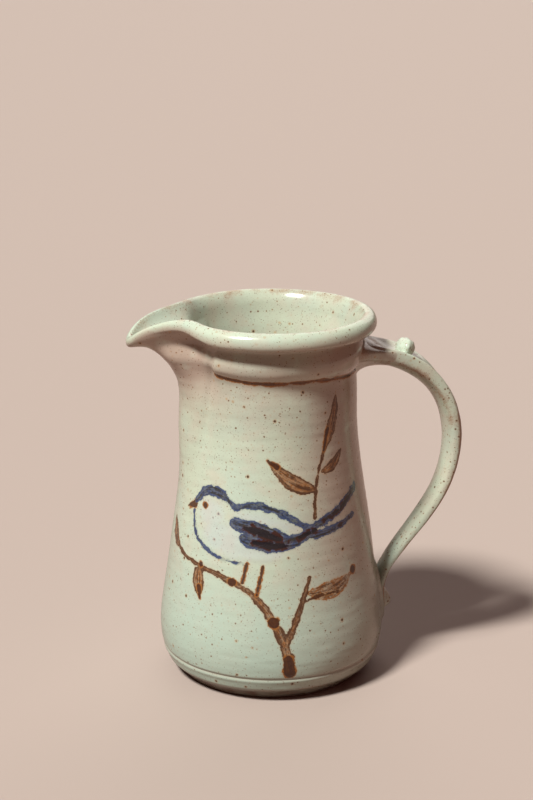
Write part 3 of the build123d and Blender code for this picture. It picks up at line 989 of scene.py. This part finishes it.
def brushwork(nodes, where, grain, colour, relief):
    """Iron and cobalt painting under the glaze, feathered and broken like a dry brush."""
    ragged = nodes.swing(nodes.noise(where, 4.0, 3, 0.55), 4.0)
    mottle = nodes.swing(nodes.noise(where, 3.0, 4, 0.70, 0.6), 4.0)
    blotch = nodes.swing(nodes.noise(where, 1.3, 3, 0.65), 4.0)
    grit = nodes.swing(grain, 4.0)
    along = nodes.math("MULTIPLY", nodes.field("brush_along"), 0.11)
    bristle = nodes.add("ShaderNodeCombineXYZ", {"X": nodes.field("brush_across"), "Y": along})
    bristle = nodes.add("ShaderNodeTexNoise", {"Vector": bristle.outputs[0], "Scale": 0.85, "Detail": 3.0,
                                               "Roughness": 0.6})
    streak = nodes.swing(bristle.outputs["Fac"], 4.0)
    wash = nodes.math("MULTIPLY_ADD", mottle, 1.6, nodes.field("wash"))
    colour = nodes.mix(nodes.math("MULTIPLY", nodes.step(wash, -1.8, 4.0), 0.34), colour, BLUE_WHITE)

    def paint(colour, name, rim, core, light, rim_mm, fray, thinnest, halo_tone):
        """One pigment: a frayed edge, a rim and a core that goes light and thin in places."""
        field = nodes.field(name)
        cover = nodes.math("MULTIPLY_ADD", grit, 0.22, field)
        cover = nodes.math("MULTIPLY_ADD", ragged, fray, cover)
        colour = nodes.mix(nodes.math("MULTIPLY", nodes.step(cover, -0.8, 0.05), 0.36), colour, halo_tone)
        inside = nodes.step(cover, -0.08, 0.16)
        centre = nodes.step(nodes.math("MULTIPLY_ADD", mottle, 0.45, field), 0.15 * rim_mm, rim_mm)
        spread = nodes.step(nodes.math("MULTIPLY_ADD", blotch, 0.5, streak), -0.55, 0.55)
        tone = nodes.mix(centre, rim, nodes.mix(spread, core, light))
        thin = nodes.math("MULTIPLY_ADD", streak, 0.8, nodes.math("MULTIPLY_ADD", grit, 0.45, mottle))
        thin = nodes.math("MULTIPLY", centre, nodes.step(thin, -0.4, 0.9))
        opacity = nodes.math("MULTIPLY_ADD", thin, thinnest - FULL_COVER, FULL_COVER)
        return nodes.mix(nodes.math("MULTIPLY", inside, opacity), colour, tone), inside

    for name, *look in PIGMENTS:
        colour, inside = paint(colour, name, *look)
        relief = nodes.math("MULTIPLY_ADD", inside, 0.08, relief)
        if name == "cobalt":
            spots = nodes.math("MULTIPLY", inside, nodes.step(nodes.math("ADD", ragged, grit), 0.55, 1.1))
            colour = nodes.mix(nodes.math("MULTIPLY", spots, 0.75), colour, COBALT_GREY)
    return colour, relief


# ======================================================================= studio
FLOOR_SEEN = (0.465, 0.365, 0.327)
FLOOR_BOUNCE = (0.300, 0.205, 0.175)
BACKDROP_SEEN = (0.62, 0.52, 0.47)
BACKDROP_GLOW = (1.0, 0.48, 0.42)
BACKDROP_GLOW_STRENGTH = 0.05

# Soft lights: azimuth from the camera's side, elevation and spread in degrees, strength, colour.
LIGHTS = {
    "key": (-44, 55, 11, 4.7, (0.97, 1.0, 0.94)),
    "fill": (70, 15, 50, 0.07, (1.0, 0.20, 0.16)),
    "back": (172, 32, 60, 0.8, (1.0, 0.92, 0.86)),
}


def soft_light(name, azimuth, elevation, spread, strength, colour):
    """A distant light that shines on the pitcher from this side."""
    data = bpy.data.lights.new(name, "SUN")
    data.angle = radians(spread)
    data.energy = strength
    data.color = colour
    turn, tilt = radians(FRONT_AZIMUTH + azimuth), radians(elevation)
    toward = Vector((cos(turn) * cos(tilt), sin(turn) * cos(tilt), sin(tilt)))
    link(name, data).rotation_euler = (-toward).to_track_quat("-Z", "Y").to_euler()


def studio_floor():
    """A plain pale floor, which throws less light back on to the pitcher than the camera sees."""
    mesh = bpy.data.meshes.new("studio_floor")
    reach = FLOOR_REACH
    corners = [(-reach, -reach, 0), (reach, -reach, 0), (reach, reach, 0), (-reach, reach, 0)]
    mesh.from_pydata(corners, [], [(0, 1, 2, 3)])
    material = bpy.data.materials.new("studio_floor")
    nodes = Nodes(material)
    seen = nodes.add("ShaderNodeLightPath").outputs["Is Camera Ray"]
    tone = nodes.mix(seen, FLOOR_BOUNCE, FLOOR_SEEN)
    shader = nodes.add("ShaderNodeBsdfPrincipled", {"Base Color": tone, "Roughness": 0.75})
    nodes.finish(shader, "ShaderNodeOutputMaterial")
    mesh.materials.append(material)
    link("studio_floor", mesh)


def studio_world():
    """A pale backdrop for the camera and a faint warm glow for everything else."""
    world = bpy.data.worlds.new("studio_world")
    nodes = Nodes(world)
    seen = nodes.add("ShaderNodeLightPath").outputs["Is Camera Ray"]
    glow = nodes.add("ShaderNodeBackground", {"Color": BACKDROP_GLOW, "Strength": BACKDROP_GLOW_STRENGTH})
    backdrop = nodes.add("ShaderNodeBackground", {"Color": BACKDROP_SEEN, "Strength": 1.0})
    both = nodes.add("ShaderNodeMixShader", {0: seen, 1: glow.outputs[0], 2: backdrop.outputs[0]})
    nodes.finish(both, "ShaderNodeOutputWorld")
    bpy.context.scene.world = world


def studio_camera():
    """The camera that took the photo, as worked out from the ellipses of rim and foot."""
    view = bpy.data.cameras.new("camera")
    view.sensor_fit = "VERTICAL"
    view.sensor_height = 36
    view.lens = LENS
    camera = link("camera", view)
    camera.location = (CAMERA_SIDE * cos(VIEW_TURN) - CAMERA_DISTANCE * sin(VIEW_TURN),
                       -CAMERA_SIDE * sin(VIEW_TURN) - CAMERA_DISTANCE * cos(VIEW_TURN), CAMERA_HEIGHT)
    camera.rotation_euler = (pi / 2 - CAMERA_PITCH, 0, -VIEW_TURN)
    bpy.context.scene.camera = camera
    bpy.context.scene.view_settings.view_transform = "Standard"


# ======================================================================= assembly
def dress(piece, material, node):
    """Gives a piece its material and ties it to the frame in place of a CAD node."""
    piece.data.materials.append(material)
    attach(piece, BODY)
    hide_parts(node)


painted_glaze = glaze_material("painted_glaze", True)
handle_glaze = glaze_material("handle_glaze", False)
dress(thrown_body_mesh(), painted_glaze, "thrown_body")
handle_parts = {"strap_handle": strap_mesh, "upper_joint_coil": joint_coil_mesh,
                "thumb_stop": thumb_stop_mesh}
for node, make_part in handle_parts.items():
    dress(make_part(), handle_glaze, node)
studio_floor()
studio_world()
for name, settings in LIGHTS.items():
    soft_light(name, *settings)
studio_camera()
